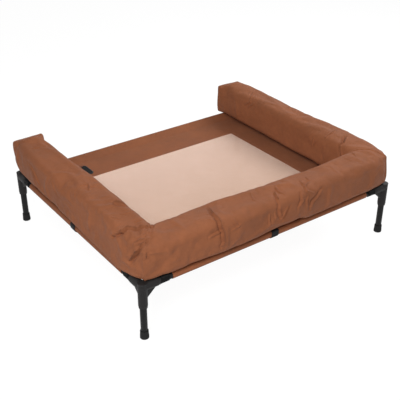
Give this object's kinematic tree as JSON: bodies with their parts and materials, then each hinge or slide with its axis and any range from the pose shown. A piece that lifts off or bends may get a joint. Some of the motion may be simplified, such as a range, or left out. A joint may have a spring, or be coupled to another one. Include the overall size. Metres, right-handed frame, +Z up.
{
  "type": "raised dog sofa",
  "caption": "Raised pet cot: a see-through mesh deck stretched in a tube frame on short legs, inside a stuffed U-shaped bolster.",
  "frame": {"origin": "on the floor, under the middle of the frame and of the whole sofa", "axes": "+X to the right along the long side, +Y towards the open side at the rear, +Z up"},
  "size_m": [0.9352, 0.7871, 0.2909],
  "materials": {
    "bolster_cover": "matte",
    "deck_cover": "matte",
    "mesh_cloth": "matte",
    "webbing": "matte",
    "tube_coating": "satin",
    "connector_plastic": "satin",
    "foot_rubber": "matte"
  },
  "bodies": {
    "frame": {"corner_connector_front_left": "connector_plastic", "corner_connector_front_right": "connector_plastic", "corner_connector_rear_left": "connector_plastic", "corner_connector_rear_right": "connector_plastic", "rail_front": "tube_coating", "rail_sleeve_front": "deck_cover", "border_front": "deck_cover", "rail_left": "tube_coating", "rail_sleeve_left": "deck_cover", "border_left": "deck_cover", "rail_rear": "tube_coating", "rail_sleeve_rear": "deck_cover", "border_rear": "deck_cover", "rail_right": "tube_coating", "rail_sleeve_right": "deck_cover", "border_right": "deck_cover", "mesh_panel": "mesh_cloth", "blank_patch": "webbing", "strap_front_left": "webbing", "strap_front_middle": "webbing", "strap_front_right": "webbing", "strap_left_front": "webbing", "strap_left_middle": "webbing", "strap_left_rear": "webbing", "strap_right_front": "webbing", "strap_right_middle": "webbing", "strap_right_rear": "webbing"},
    "bolster": {"bolster_front": "bolster_cover", "bolster_left": "bolster_cover", "bolster_right": "bolster_cover"},
    "leg_front_left": {"leg_tube_front_left": "tube_coating", "foot_front_left": "foot_rubber"},
    "leg_front_right": {"leg_tube_front_right": "tube_coating", "foot_front_right": "foot_rubber"},
    "leg_rear_left": {"leg_tube_rear_left": "tube_coating", "foot_rear_left": "foot_rubber"},
    "leg_rear_right": {"leg_tube_rear_right": "tube_coating", "foot_rear_right": "foot_rubber"}
  },
  "joints": [
    {"name": "bolster_lift", "type": "slide", "parent": "frame", "child": "bolster", "axis": [0, 0, 1], "range_m": [0, 0.15]},
    {"name": "leg_front_left_pull", "type": "slide", "parent": "frame", "child": "leg_front_left", "axis": [0, 0, -1], "range_m": [0, 0.055]},
    {"name": "leg_front_right_pull", "type": "slide", "parent": "frame", "child": "leg_front_right", "axis": [0, 0, -1], "range_m": [0, 0.055]},
    {"name": "leg_rear_left_pull", "type": "slide", "parent": "frame", "child": "leg_rear_left", "axis": [0, 0, -1], "range_m": [0, 0.055]},
    {"name": "leg_rear_right_pull", "type": "slide", "parent": "frame", "child": "leg_rear_right", "axis": [0, 0, -1], "range_m": [0, 0.055]}
  ]
}
